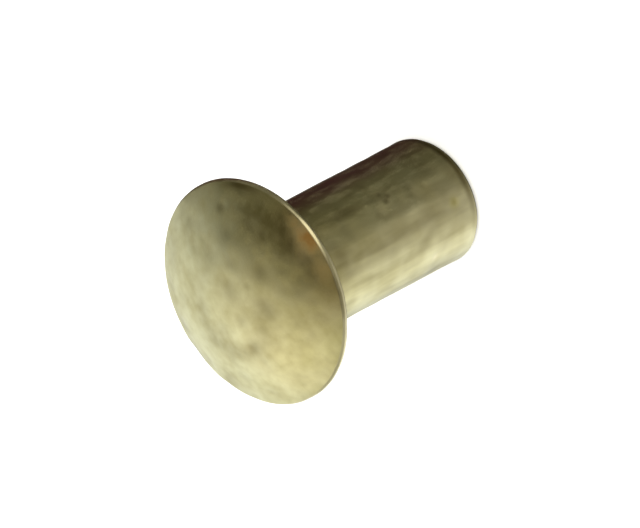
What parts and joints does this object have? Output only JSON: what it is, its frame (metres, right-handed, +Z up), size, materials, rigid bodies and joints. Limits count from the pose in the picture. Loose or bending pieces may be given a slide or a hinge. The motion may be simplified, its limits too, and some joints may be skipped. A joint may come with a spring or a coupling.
{
  "type": "rivet",
  "caption": "Solid brass rivet with a low domed oval head and a plain cylindrical shank, for joining sheets, straps or linings through a drilled hole.",
  "frame": {"origin": "centre of the tail's flat end face, on which the rivet stands", "axes": "+Z up along the shank, from the tail to the crown of the head; the rivet is round about Z"},
  "size_m": [0.0072, 0.0072, 0.0091],
  "materials": {
    "brass": "tumbled, slightly tarnished"
  },
  "bodies": {
    "root": {"rivet": "brass"}
  },
  "joints": []
}
